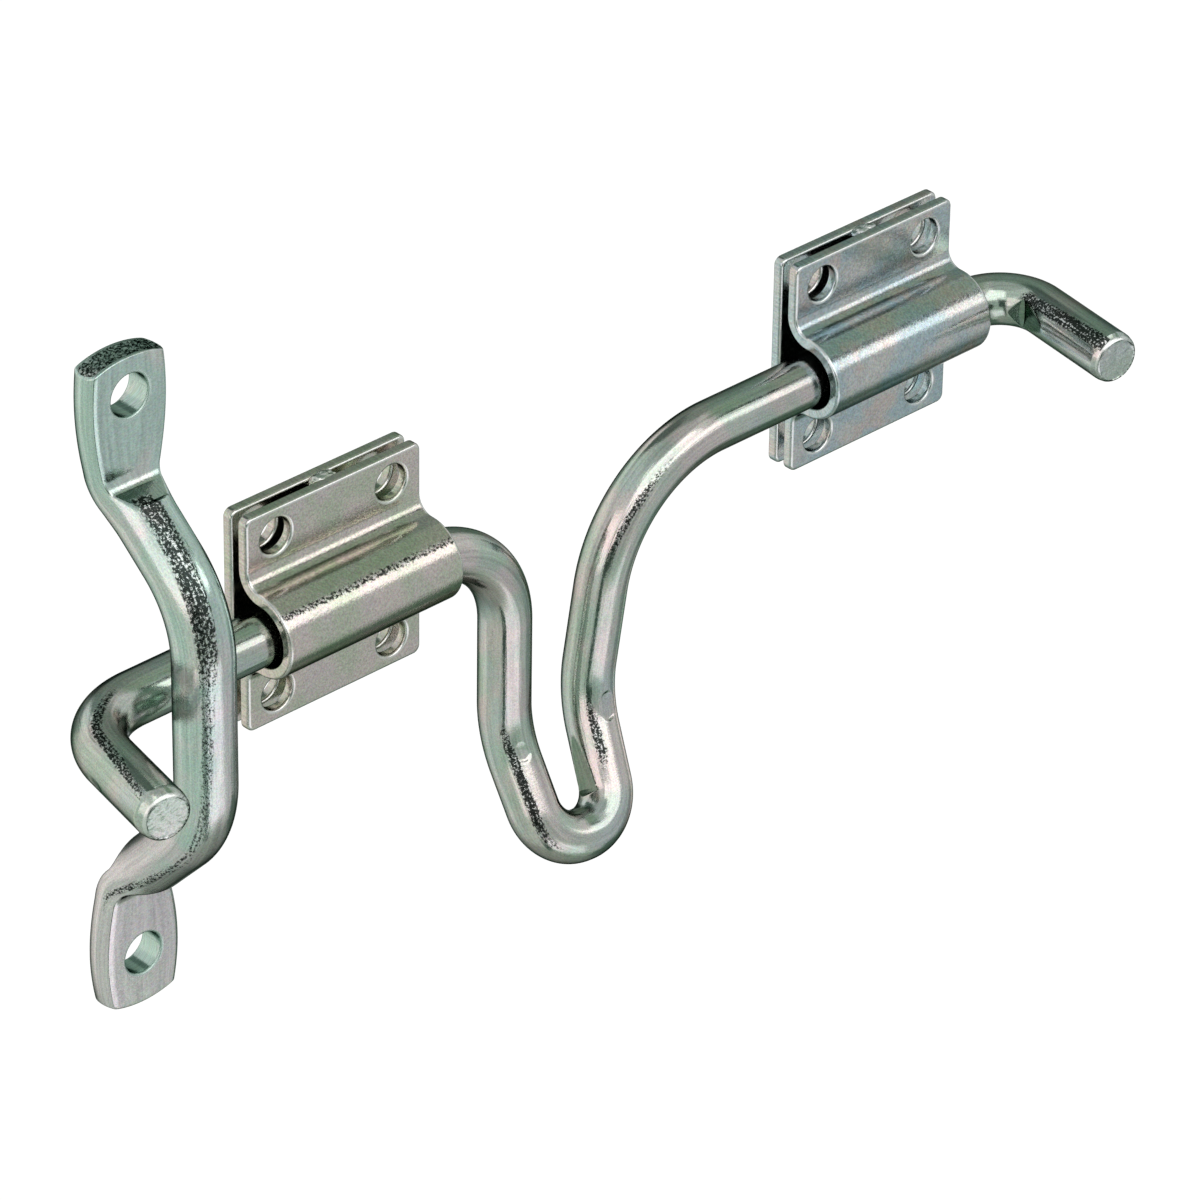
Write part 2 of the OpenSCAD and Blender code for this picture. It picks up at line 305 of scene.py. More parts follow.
def end_rough(rings):
    """How rough each ring of an end is, from the rod out to the middle of the face."""
    rough = np.full(len(rings), FACE_ROUGH)
    rough[:ROLL_RINGS] = ROLL_ROUGH
    return rough


def end_layer(rings, spokes, widest, wide, narrow, face):
    """A layer over an end: from wide to narrow round the rolled edge, and face across the rest."""
    share = 0.5 + 0.5 * spokes @ unit(np.array(widest))
    layer = np.full(rings.shape[:2], face)
    layer[:ROLL_RINGS] = narrow + (wide - narrow) * np.clip(share * 1.6 - 0.3, 0, 1)
    return layer


def end_rings(ring, centre, way, narrow, wide, widest):
    """Rings over the rolled edge and the rough face of a sheared end. The edge is widest towards widest."""
    out = ring - centre
    radius = np.linalg.norm(out, axis=1)
    share = 0.5 + 0.5 * (out / radius[:, None]) @ unit(np.array(widest))
    roll = narrow + (wide - narrow) * share ** 1.5
    rings = []
    for part in np.linspace(0, 1, ROLL_RINGS + 1)[1:]:
        inset = roll * part ** 1.15 / radius
        rise = ROD_CHAMFER * (1 - (1 - part) ** 1.3)
        rings.append(centre + out * (1 - inset)[:, None] + way * rise)
    for part in FACE_PARTS:
        flat = centre + out * ((1 - roll / radius) * part)[:, None] + way * ROD_CHAMFER
        rough = [max(0.15 + 0.22 * lumps(p, 1.5, 7) + 0.06 * lumps(p, 0.5, 3), 0) for p in flat]
        rings.append(flat - way * np.array(rough)[:, None])
    return np.array(rings)


# Bolt

LEG_X = PLATE_W / 2 + HANDLE_LEAD
BOTTOM_TILT = math.radians(HANDLE_LEAN / 2)
BOTTOM_END_X = LEG_X + HANDLE_BOTTOM_W * math.cos(BOTTOM_TILT)
BOTTOM_END_DROP = HANDLE_DROP + HANDLE_BOTTOM_W * math.sin(BOTTOM_TILT)
LEAN_SLOPE = math.tan(math.radians(HANDLE_LEAN))
LEG_END_X = BOTTOM_END_X + BOTTOM_END_DROP * LEAN_SLOPE
KICK_END_X = LEG_END_X - KICK_DROP * LEAN_SLOPE
SWEEP_END_X = LEG_END_X + setback(HANDLE_SWEEP_R, 90 - HANDLE_LEAN)
GUIDE_PITCH = SWEEP_END_X + BOLT_TRAVEL + PLATE_W / 2
TAIL_X = GUIDE_PITCH + PLATE_W / 2 + TAIL_RUN + setback(TAIL_R, TAIL_TURN)
TAIL_REACH = setback(TAIL_R, TAIL_TURN) + TAIL_LEN - ROD_CHAMFER
NOSE_X = -(PLATE_W / 2 + NOSE_RUN + setback(NOSE_R, NOSE_TURN))
NOSE_REACH = setback(NOSE_R, NOSE_TURN) + NOSE_LEN - ROD_CHAMFER
NOSE_RAD = math.radians(NOSE_TURN)
TAIL_RAD = math.radians(TAIL_TURN)

BOLT_CORNERS = [
    (NOSE_X - NOSE_REACH * math.cos(NOSE_RAD), ROD_Y - NOSE_REACH * math.sin(NOSE_RAD), ROD_Z),
    (NOSE_X, ROD_Y, ROD_Z),
    (LEG_X, ROD_Y, ROD_Z),
    below(LEG_X, KICK_DROP),
    below(LEG_X, HANDLE_DROP),
    below(BOTTOM_END_X, BOTTOM_END_DROP),
    below(KICK_END_X, KICK_DROP),
    (LEG_END_X, ROD_Y, ROD_Z),
    (TAIL_X, ROD_Y, ROD_Z),
    (TAIL_X + TAIL_REACH * math.cos(TAIL_RAD), ROD_Y - TAIL_REACH * math.sin(TAIL_RAD), ROD_Z),
]
BOLT_RADII = [
    NOSE_R, HANDLE_HEAD_R, KICK_R, HANDLE_BOTTOM_R, HANDLE_BOTTOM_R, KICK_R, HANDLE_SWEEP_R, TAIL_R
]

BOLT_R = ROD_D / 2 - ROD_SLACK
BOLT_AROUND = 100

# The rolled edge of each end: the side where it is widest, how far it goes in there and on the other
# side, and over what length the rod draws in before it
NOSE_WIDEST = (-0.7, 0.2, 0.7)
TAIL_WIDEST = (-0.7, 0.1, 0.7)
BOLT_ENDS = ((0.75, 0.9, NOSE_WIDEST), (0.75, 0.8, TAIL_WIDEST))
NOSE_DRAWN = 1.2
TAIL_DRAWN = 0.9

# Flats that the bending tools pressed, in pairs that meet at a crease, as press_flat takes them
BOLT_FLATS = (
    (458.3, 20.5, 458.3, 476, 1.5),
    (458.3, -38, 449, 458.3, 1.5),
    (255.3, 17.4, 255.3, 300, 1.2),
    (255.3, -45, 246, 255.3, 1.2),
    (228.1, -17.4, 184, 228.1, 1.2),
    (228.1, 45, 228.1, 237, 1.2),
)

# Two crescents and a small dent, whose edges are bowed across the rod
BOLT_DENTS = (
    (213, -2.3, 207.4, 214, 0.42, (-0.24, -0.90, 0.36), 0.45, 2.5),
    (276, 0, 271.4, 280.6, 0.38, (0.08, -0.93, 0.35), 0.45, 0.8),
    (20, 0, 17.5, 22.5, 0.16, (-0.93, 0.1, -0.2), 0.4, 0.4),
)

# How deep a flat lies under the round skin where it counts as pressed in full
PRESSED_DEPTH = 0.06

# Coarse bands along the bolt, where its colour also has painted dark reflection and painted glints: distance
# from the nose, direction round it, half width and strength
BOLT_COARSE_AND_PAINTED_REFLECTION_BANDS = (
    ((2, 228, 9, 0.5), (16, 246, 13, 0.9), (28, 257, 13, 1.0), (35, 272, 13, 0.9), (48, 284, 8, 0.0)),
    ((200, 46, 6, 0.0), (204, 46, 10, 0.8), (212, 37, 13, 1.1), (226, 36, 14, 1.1), (238, 52, 8, 0.0)),
    ((260, 330, 8, 0.0), (265, 331, 13, 1.1), (272, 327, 12, 1.1), (283, 319, 5, 0.0)),
    ((312, 325, 5, 0.0), (318, 322, 9, 0.6), (328, 326, 11, 0.9), (344, 328, 8, 0.0)),
    ((456, 323, 9, 0.0), (459, 322, 14, 1.15), (478, 313, 19, 1.2), (489, 309, 21, 1.2)),
)


def press_flat(skin, line, at, rise, start, stop, depth, toward=None, bow=0.0, ease=0.01):
    """Presses a flat into the rod.

    At a distance along the rod it lies depth under the skin, and from there it rises by an angle.
    It stays between start and stop, where its edges are bowed, and it deepens over ease. It faces
    the inside of the bend, unless toward says another direction.
    """
    row = np.searchsorted(line.run, at)
    way = line.ways[row]
    if toward is None:
        toward = line.ways[row + 3] - line.ways[row - 3]
    toward = np.array(toward)
    toward = unit(toward - way * (toward @ way))
    plane = toward * math.cos(math.radians(rise)) - way * math.sin(math.radians(rise))
    base = line.points[row] + toward * (BOLT_R - depth)
    over = np.maximum((skin - base) @ plane, 0)
    drawn = bow * ((skin - base) @ np.cross(way, toward)) ** 2
    run = line.run[:, None]
    edge = 0.8 if bow else 0.01
    inside = np.clip((run - start - drawn) / ease, 0, 1) * np.clip((stop - drawn - run) / edge, 0, 1)
    return skin - (over * inside)[:, :, None] * plane


def press_bolt(skin, spokes, line):
    """The bolt's skin with the marks of the bending tools, how coarse it is with painted dark reflection and
    glints in its colour, and where it is pressed.
    """
    round_skin = skin
    for flat in BOLT_FLATS:
        skin = press_flat(skin, line, *flat)
    pressed = np.clip(np.linalg.norm(skin - round_skin, axis=2) / PRESSED_DEPTH, 0, 1)
    for dent in BOLT_DENTS:
        skin = press_flat(skin, line, *dent)
    for near, widest, length in (
        (line.run, NOSE_WIDEST, NOSE_DRAWN),
        (line.run[-1] - line.run, TAIL_WIDEST, TAIL_DRAWN),
    ):
        share = (0.5 + 0.5 * spokes @ unit(np.array(widest))) ** 1.5
        skin = skin - spokes * (share * np.maximum(length - near, 0)[:, None])[:, :, None]
    degrees = np.arange(skin.shape[1]) * 360 / skin.shape[1]
    wrinkle = np.zeros(skin.shape[:2])
    for band in BOLT_COARSE_AND_PAINTED_REFLECTION_BANDS:
        runs, middles, halves, strengths = zip(*band)
        middle = np.interp(line.run, runs, middles)[:, None]
        half = np.interp(line.run, runs, halves)[:, None]
        strength = np.interp(line.run, runs, strengths, 0, 0)[:, None]
        off = np.abs((degrees[None, :] - middle + 180) % 360 - 180)
        wrinkle = np.maximum(wrinkle, strength * (1 - np.minimum(off / half, 1) ** 4))
    return skin, wrinkle, pressed


def make_bolt():
    line = Line(BOLT_CORNERS, BOLT_RADII, 0.8, 0.35)
    verts, faces, layers = bent_rod(line, BOLT_R, BOLT_AROUND, BOLT_ENDS, press_bolt)
    bolt = make_object("bolt_rod", verts, faces, 30, **layers)
    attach(bolt, "bolt")
    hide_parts("bolt_nose", "bolt_journal", "bolt_handle")
    return bolt


# Strike

STRIKE_X = -(PLATE_W / 2 + STRIKE_GAP_X)
STRIKE_R = STRIKE_D / 2 - ROD_SLACK
FOOT_Y = -FOOT_T / 2
BAR_Y = ROD_Y - ROD_D / 2 - STRIKE_CLEAR - STRIKE_D / 2
FOOT_TOP_Z = ROD_Z + RAMP_TOP_Z
FOOT_BOTTOM_Z = ROD_Z - RAMP_BOTTOM_Z
BAR_TOP_Z = FOOT_TOP_Z - (FOOT_Y - BAR_Y) / math.tan(math.radians(RAMP_TOP_ANGLE))
BAR_BOTTOM_Z = FOOT_BOTTOM_Z + (FOOT_Y - BAR_Y) / math.tan(math.radians(RAMP_BOTTOM_ANGLE))
HOLE_TOP_Z = ROD_Z + STRIKE_HOLE_PITCH / 2
HOLE_BOTTOM_Z = ROD_Z - STRIKE_HOLE_PITCH / 2


def soft_limit(values, limit, soft):
    """Values held under a limit, with a rounded knee of a given size."""
    over = np.clip(values - (limit - soft), 0, 2 * soft)
    return np.minimum(values, limit + soft) - over ** 2 / (4 * soft)


def forged_section(half_w, front_t, back_t, edge_r, around):
    """Points round a rod that is pressed flat in front and behind, between bulged edges."""
    turn = np.arange(around) * 2 * math.pi / around
    half_t = min(front_t, back_t)
    edge_r = max(edge_r, half_t)
    meet = math.sqrt(max(1 - (half_t / edge_r) ** 2, 1e-6))
    spread = np.clip(np.cos(turn) / meet, -1, 1)
    x = (half_w - edge_r) * spread + edge_r * np.cos(turn)
    y = edge_r * np.sin(turn)
    y = np.where(y > 0, soft_limit(y, front_t, 0.45), -soft_limit(-y, back_t, 0.45))
    return x, y


def blend(a, b, part):
    part = min(max(part, 0), 1)
    return a + (b - a) * part * part * (3 - 2 * part)


def glide(a, slope, b, length, at):
    """A value that leaves a with a slope and settles at b over a length."""
    part = min(max(at / length, 0), 1)
    start = 2 * part ** 3 - 3 * part ** 2 + 1
    lean = (part ** 3 - 2 * part ** 2 + part) * length
    return a * start + slope * lean + b * (1 - start)


STRIKE_AROUND = 128
RIM_R = 0.45


class StrikeEnd:
    """The shape of the strike between one end and the round bar, by the distance from the end."""

    def __init__(self, end_to_hole, bend_from, bend_to, stepped):
        self.hole, self.bend_from, self.bend_to, self.stepped = end_to_hole, bend_from, bend_to, stepped
        narrowing = (FOOT_W - NECK_W) / 2
        self.bow_r = ((bend_from - end_to_hole) ** 2 + narrowing ** 2) / (2 * narrowing)
        self.slope = -(bend_from - end_to_hole) / (self.bow_r - narrowing)

    def half_w(self, near):
        if near <= self.bend_from:
            return FOOT_W / 2 - self.bow_r + math.sqrt(self.bow_r ** 2 - (near - self.hole) ** 2)
        settle = self.bend_to - self.bend_from + 8
        return glide(NECK_W / 2, self.slope, STRIKE_R, settle, near - self.bend_from)

    def half_t(self, near):
        past = near - self.bend_to
        smooth = blend(FOOT_T / 2, STRIKE_R, past / SPREAD_LEN)
        if not self.stepped:
            return smooth, smooth
        step = FOOT_T / 2 + 2.1 * min(max(past, 0) / 5, 1)
        return blend(step, STRIKE_R, (past - 4.9) / 0.9), smooth

    def section(self, near, inset):
        rounding = (near - self.bend_from + 2) / (self.bend_to - self.bend_from + 7)
        edge_r = blend(FOOT_EDGE_R, STRIKE_R, rounding)
        front_t, back_t = self.half_t(near)
        x, y = forged_section(self.half_w(near), front_t, back_t, edge_r, STRIKE_AROUND)
        x = x * (1 - inset / self.half_w(near))
        y = y * (1 - inset / front_t)
        cut = FOOT_CUT_R - np.sqrt(FOOT_CUT_R ** 2 - x ** 2)
        return x, y, cut * max(1 - near / self.bend_from, 0) ** 2


def strike_skin(line):
    """Rings of the strike, from the upper end to the lower one, and the distance of each along it."""
    end = line.run[-1]
    upper = StrikeEnd(FOOT_END_TOP, line.bends[0][0], line.bends[0][1], True)
    lower = StrikeEnd(FOOT_END_BOTTOM, end - line.bends[3][1], end - line.bends[3][0], False)
    stations = [(RIM_R * (1 - math.sin(a)), RIM_R * (1 - math.cos(a)))
                for a in (math.radians(d) for d in (90, 67, 45, 22))]
    body = [(run, 0.0) for run in line.run if RIM_R <= run <= end - RIM_R]
    stations = stations + body + [(end - near, inset) for near, inset in stations[::-1]]
    rings, runs = [], []
    for run, inset in stations:
        top = run < end / 2
        x, y, cut = upper.section(run, inset) if top else lower.section(end - run, inset)
        point = [np.interp(run, line.run, line.points[:, k]) for k in range(3)]
        way = unit(np.array([np.interp(run, line.run, line.ways[:, k]) for k in range(3)]))
        across = np.array([1.0, 0.0, 0.0])
        ring = np.array(point) + x[:, None] * across + y[:, None] * np.cross(way, across)
        rings.append(ring + (way if top else -way) * cut[:, None])
        runs.append(run)
    return np.array(rings), np.array(runs)


def sheared_face(ring, first, start, way):
    """A rough face across an end ring: its points, with their distance below the edge, and its faces."""
    half, rows = STRIKE_AROUND // 2, 12
    points, faces = [], []
    before = [first]
    for j in range(1, half + 1):
        column = [first + half]
        if j < half:
            a, b = ring[j], ring[STRIKE_AROUND - j]
            column = [first + j]
            for k in range(1, rows):
                point = a + (b - a) * k / rows
                deep = 0.5 * abs(lumps(point, 1.5, 4)) + 0.3 * abs(lumps(point, 0.6, 9))
                edge = min(k, rows - k, 2 + min(j, half - j)) / 2
                points.append(point - way * deep * min(edge, 1))
                column.append(start + len(points) - 1)
            column.append(first + STRIKE_AROUND - j)
        if len(before) == 1:
            faces += [(before[0], column[k], column[k + 1]) for k in range(len(column) - 1)]
        elif len(column) == 1:
            faces += [(column[0], before[k], before[k + 1]) for k in range(len(before) - 1)]
        else:
            faces += [(before[k], column[k], column[k + 1], before[k + 1]) for k in range(rows)]
        before = column
    return points, faces


def make_strike():
    line = Line(
        [
            (STRIKE_X, FOOT_Y, HOLE_TOP_Z + FOOT_END_TOP - 0.02),
            (STRIKE_X, FOOT_Y, FOOT_TOP_Z),
            (STRIKE_X, BAR_Y, BAR_TOP_Z),
            (STRIKE_X, BAR_Y, BAR_BOTTOM_Z),
            (STRIKE_X, FOOT_Y, FOOT_BOTTOM_Z),
            (STRIKE_X, FOOT_Y, HOLE_BOTTOM_Z - FOOT_END_BOTTOM),
        ],
        [FOOT_BEND_R, BAR_BEND_R, BAR_BEND_R, FOOT_BEND_R],
        0.5,
        0.5,
    )
    rings, runs = strike_skin(line)
    turn = np.arange(STRIKE_AROUND) * 2 * math.pi / STRIKE_AROUND
    faces = grid_faces(len(rings), STRIKE_AROUND)
    verts = rings.reshape(-1, 3)
    rough = np.zeros(len(verts))
    unrolled = np.stack([
        np.broadcast_to(STRIKE_R * np.cos(turn), rings.shape[:2]),
        np.broadcast_to(STRIKE_R * np.sin(turn), rings.shape[:2]),
        np.broadcast_to(runs[:, None] - runs[-1] / 2, rings.shape[:2]),
    ], 2).reshape(-1, 3)
    wrinkle = np.array([[strike_wrinkle(run, math.degrees(t)) for t in turn] for run in runs]).ravel()
    for ring, way in ((0, -line.ways[0]), (len(rings) - 1, line.ways[-1])):
        points, more = sheared_face(rings[ring], ring * STRIKE_AROUND, len(verts), way)
        verts = np.vstack([verts, points])
        faces += more
        flat = np.array(points) - rings[ring].mean(axis=0)
        flat[:, 2] += runs[ring] - runs[-1] / 2
        unrolled = np.vstack([unrolled, flat])
        rough = np.concatenate([rough, np.ones(len(points))])
        wrinkle = np.concatenate([wrinkle, np.zeros(len(points))])
    obj = make_object("strike_rod", verts, faces, straight=unrolled, sheared=rough, wrinkle=wrinkle)
    for hole_z in (HOLE_TOP_Z, HOLE_BOTTOM_Z):
        pierce(obj, hole_z)
    even_normals(obj)
    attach(obj, "mounting")
    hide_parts("strike")
    return obj


def strike_wrinkle(run, degrees):
    """How coarse the skin is, with painted dark reflection and glints in its colour: a band down the front
    of the upper ramp, narrow and faint on the bar.
    """
    middle = np.interp(run, (45, 75, 100, 125, 140, 155), (105, 123, 128, 138, 150, 170))
    half = np.interp(run, (66, 84, 150), (24, 15, 9))
    strength = np.interp(run, (37, 38, 66, 84, 112, 140, 155, 160), (0, 1, 0.95, 0.5, 0.4, 0.6, 0.5, 0))
    return strength * (1 - min(abs(degrees - middle) / half, 1) ** 4)


def pierce(obj, hole_z):
    """Cuts a hole with rounded rims through a flattened end."""
    around, rim = 96, 0.6
    radius = STRIKE_HOLE_D / 2
    profile = [(radius + rim + 1.5, 1.0), (radius + rim, 0.001)]
    profile += [
        (radius + rim * (1 - math.sin(a)), -rim * (1 - math.cos(a)))
        for a in (math.radians(d) for d in (18, 36, 54, 72, 90))
    ]
    far = [(r, -FOOT_T - y) for r, y in profile[::-1]]
    rings = []
    for r, y in profile + far:
        rings += [
            (STRIKE_X + r * math.cos(t), y, hole_z + r * math.sin(t))
            for t in np.arange(around) * 2 * math.pi / around
        ]
    rows = len(profile) * 2
    faces = grid_faces(rows, around)
    faces.append(tuple(range(around)))
    faces.append(tuple(range((rows - 1) * around, rows * around)))
    cutter = make_object("cutter", rings, faces)
    cut = obj.modifiers.new("hole", "BOOLEAN")
    cut.operation, cut.solver, cut.object = "DIFFERENCE", "EXACT", cutter
    shapes = bpy.context.evaluated_depsgraph_get()
    pierced = bpy.data.meshes.new_from_object(obj.evaluated_get(shapes))
    obj.modifiers.clear()
    obj.data = pierced
    bpy.data.objects.remove(cutter)
    pierced.shade_smooth()
    pierced.set_sharp_from_angle(angle=math.radians(32))


# Plates

FRONT_EDGE_R = 0.85
BACK_EDGE_R = 0.4
FLAT_RUN = PLATE_H / 2 - BARREL_OUT_R - BARREL_FILLET_R
BARREL_ARC = (BARREL_OUT_R - PLATE_T / 2) * math.pi / 2
FILLET_ARC = (BARREL_FILLET_R + PLATE_T / 2) * math.pi / 2
WALL_RUN = BARREL_STAND - BARREL_FILLET_R
BENT_RUN = BARREL_ARC + WALL_RUN + FILLET_ARC
GUIDE_HALF = BENT_RUN + FLAT_RUN
# Where round the barrel the coarse line runs, whose colour has painted dark reflection and glints
COARSE_AND_PAINTED_REFLECTION_V = (BARREL_OUT_R - PLATE_T / 2) * math.radians(47)


def guide_place(u, v, w):
    """Folds a point of the flat blank, at w in front of the sheet's middle, into the formed guide."""
    side, v = (1, v) if v >= 0 else (-1, -v)
    barrel_r = BARREL_OUT_R - PLATE_T / 2
    fillet_r = BARREL_FILLET_R + PLATE_T / 2
    if v <= BARREL_ARC:
        angle = v / barrel_r
        y = BARREL_Y - (barrel_r + w) * math.cos(angle)
        z = (barrel_r + w) * math.sin(angle)
    elif v <= BARREL_ARC + WALL_RUN:
        y = BARREL_Y + v - BARREL_ARC
        z = barrel_r + w
    elif v <= BENT_RUN:
        angle = (v - BARREL_ARC - WALL_RUN) / fillet_r
        y = GUIDE_FACE_Y - BARREL_FILLET_R + (fillet_r - w) * math.sin(angle)
        z = BARREL_OUT_R + BARREL_FILLET_R - (fillet_r - w) * math.cos(angle)
    else:
        y = GUIDE_FACE_Y + PLATE_T / 2 - w
        z = BARREL_OUT_R + BARREL_FILLET_R + v - BENT_RUN
    return (u, y, side * z)


def barrel_coarse_and_painted_reflection(v, w):
    """How coarse the guide's skin is, with painted dark reflection and glints in its colour: a line along
    the upper front of the barrel.
    """
    return max(1 - abs(v - COARSE_AND_PAINTED_REFLECTION_V) / 1.1, 0) if w > 0 else 0.0


def plate_place(u, v, w):
    return (u, -PLATE_T / 2 - w, v)


def rounded_outline(half_w, half_h, radius, rows):
    """Points round a blank, anticlockwise from the lower right. rows are the heights that its sides need."""
    points = [(half_w, v) for v in rows]
    for cx, cy, first in ((1, 1, 0), (-1, 1, 90), (-1, -1, 180), (1, -1, 270)):
        corner = [
            (cx * (half_w - radius) + radius * math.cos(math.radians(first + a)),
             cy * (half_h - radius) + radius * math.sin(math.radians(first + a)))
            for a in np.linspace(0, 90, 9)
        ]
        points += corner
        if first == 90:
            points += [(-half_w, v) for v in reversed(rows)]
    return points


def inset_loop(loop, amount):
    """The loop moved sideways to its left by an amount."""
    loop = np.array(loop, float)
    before, after = np.roll(loop, 1, axis=0), np.roll(loop, -1, axis=0)
    way_in = loop - before
    way_out = after - loop
    way_in /= np.linalg.norm(way_in, axis=1)[:, None]
    way_out /= np.linalg.norm(way_out, axis=1)[:, None]
    left_in = np.stack([-way_in[:, 1], way_in[:, 0]], axis=1)
    left_out = np.stack([-way_out[:, 1], way_out[:, 0]], axis=1)
    middle = left_in + left_out
    middle /= (1 + (left_in * left_out).sum(axis=1))[:, None]
    return loop + middle * amount


def make_plate(name, half_h, hole_v, place, rows, offset_x, coarse=lambda v, w: 0.0):
    """A sheet blank with four holes and softened edges, folded by place."""
    outline = rounded_outline(PLATE_W / 2, half_h, CORNER_R, rows)
    loops = [outline]
    for cx in (-1, 1):
        for cy in (-1, 1):
            loops.append([
                (cx * HOLE_PITCH_X / 2 + PLATE_HOLE_D / 2 * math.cos(t),
                 cy * hole_v - PLATE_HOLE_D / 2 * math.sin(t))
                for t in np.linspace(0, 2 * math.pi, 48, endpoint=False)
            ])
    form = bmesh.new()
    steps = [math.radians(a) for a in (0, 15, 30, 45, 60, 75, 90)]
    front, back = (
        [(radius * (1 - math.sin(a)), PLATE_T / 2 - radius * (1 - math.cos(a))) for a in steps]
        for radius in (FRONT_EDGE_R, BACK_EDGE_R)
    )
    rings = front + [(inset, -w) for inset, w in back[::-1]]
    faces_of = {1: [], -1: []}
    edge = form.verts.layers.float.new("worn")
    for loop in loops:
        made = []
        for number, (inset, w) in enumerate(rings):
            made.append([form.verts.new((u, v, w)) for u, v in inset_loop(loop, inset)])
            for v in made[-1]:
                # A painted highlight: the outer rings of the rounded front edge take a near-white in the
                # material
                v[edge] = 1.0 if 1 <= number <= 3 else 0.0
        for near, far in zip(made, made[1:]):
            for j in range(len(loop)):
                k = (j + 1) % len(loop)
                form.faces.new((near[j], near[k], far[k], far[j]))
        faces_of[1].append(made[0])
        faces_of[-1].append(made[-1])
    for side, rims in faces_of.items():
        edges = []
        for rim in rims:
            for j in range(len(rim)):
                edges.append(form.edges.get((rim[j], rim[(j + 1) % len(rim)])))
        filled = bmesh.ops.triangle_fill(form, edges=edges, use_beauty=True)
        skin = [g for g in filled["geom"] if isinstance(g, bmesh.types.BMFace)]
        for v in rows:
            parts = set(skin)
            for face in skin:
                parts.update(face.edges)
                parts.update(face.verts)
            cut = bmesh.ops.bisect_plane(
                form, geom=list(parts), dist=1e-5, plane_co=(0, v, 0), plane_no=(0, 1, 0)
            )
            skin = [g for g in set(cut["geom"]) if isinstance(g, bmesh.types.BMFace) and g.is_valid]
    bmesh.ops.remove_doubles(form, verts=form.verts, dist=1e-4)
    bmesh.ops.recalc_face_normals(form, faces=form.faces)
    form.verts.ensure_lookup_table()
    blank = [tuple(v.co) for v in form.verts]
    for v in form.verts:
        x, y, z = place(*v.co)
        v.co = (Vector((x + offset_x, y, z))) * MM
    mesh = bpy.data.meshes.new(name)
    form.to_mesh(mesh)
    form.free()
    layer = mesh.attributes.new("straight", "FLOAT_VECTOR", "POINT")
    layer.data.foreach_set("vector", np.array(blank, float).ravel())
    # A layer for coarse skin, whose colour also gets painted dark reflection and glints
    layer = mesh.attributes.new("wrinkle", "FLOAT", "POINT")
    layer.data.foreach_set("value", [coarse(v, w) for _, v, w in blank])
    obj = bpy.data.objects.new(name, mesh)
    bpy.context.scene.collection.objects.link(obj)
    finish_mesh(obj, 40)
    even_normals(obj)
    return obj


def make_guides():
    """Both guides and back plates, each in its place."""
    bent = [*np.linspace(0, BARREL_ARC, 19), *np.linspace(BARREL_ARC + WALL_RUN, BENT_RUN, 13)]
    rows = sorted({round(sign * v, 6) for sign in (-1, 1) for v in bent})
    hole_v = BENT_RUN + HOLE_PITCH_Z / 2 - BARREL_OUT_R - BARREL_FILLET_R
    pieces = []
    # The last number is how strong the coarse line, with its painted dark reflection and glints, is on each
    # guide
    for side, x, coarse in (("left", 0.0, 1.0), ("right", GUIDE_PITCH, 0.35)):
        guide = make_plate(
            side + "_guide_sheet", GUIDE_HALF, hole_v, guide_place, rows, x,
            lambda v, w: coarse * barrel_coarse_and_painted_reflection(v, w))
        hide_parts(side + "_guide")
        plate = make_plate(
            side + "_back_plate_sheet", PLATE_H / 2, HOLE_PITCH_Z / 2, plate_place, [], x)
        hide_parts(side + "_back_plate")
        welds = make_welds(side + "_weld_beads", x)
        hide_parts(side + "_tack_welds")
        for piece in (guide, plate, welds):
            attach(piece, "mounting")
        pieces += [guide, plate, welds]
    return pieces


# A weld bead's half width, how far it goes into each plate, its half heights towards the middle and
# the edge of the plates, and how far its middle lies inside their edge
WELD_HALF_W = 3.7
WELD_BITE = 0.9
WELD_INWARD = 1.7
WELD_OUTWARD = 1.4
WELD_INSET = 0.95


def make_welds(name, offset_x):
    """Two lumpy beads that fill the gap between the plates and bulge over their edges."""
    verts, faces = [], []
    for side in (-1, 1):
        blob = bmesh.new()
        bmesh.ops.create_icosphere(blob, subdivisions=5, radius=1.0)
        start = len(verts)
        for v in blob.verts:
            spot = Vector(v.co) + Vector((offset_x, 0, 3 * side))
            rough = 1 + 0.16 * lumps(spot, 0.55, 2) + 0.08 * lumps(spot, 0.2, 5)
            ripple = 0.12 * math.sin(9 * v.co.x + 1.5 * v.co.y)
            x = v.co.x * WELD_HALF_W * rough
            y = v.co.y * (PLATE_GAP / 2 + WELD_BITE) * rough
            reach = WELD_INWARD if v.co.z < 0 else WELD_OUTWARD
            z = v.co.z * reach * (rough + ripple * max(v.co.z, 0))
            verts.append((
                x + offset_x,
                y - PLATE_T - PLATE_GAP / 2,
                side * (z + PLATE_H / 2 - WELD_INSET),
            ))
        faces += [[start + v.index for v in face.verts] for face in blob.faces]
        blob.free()
    # A painted highlight on the parts of the beads that bulge past the plates' edges
    outward = [max(abs(z) / (PLATE_H / 2 - 0.4) - 1, 0) for _, _, z in verts]
    worn = np.clip(np.array(outward) * 60, 0, 0.9)
    return make_object(name, verts, faces, 60, straight=verts, worn=worn)


# Materials

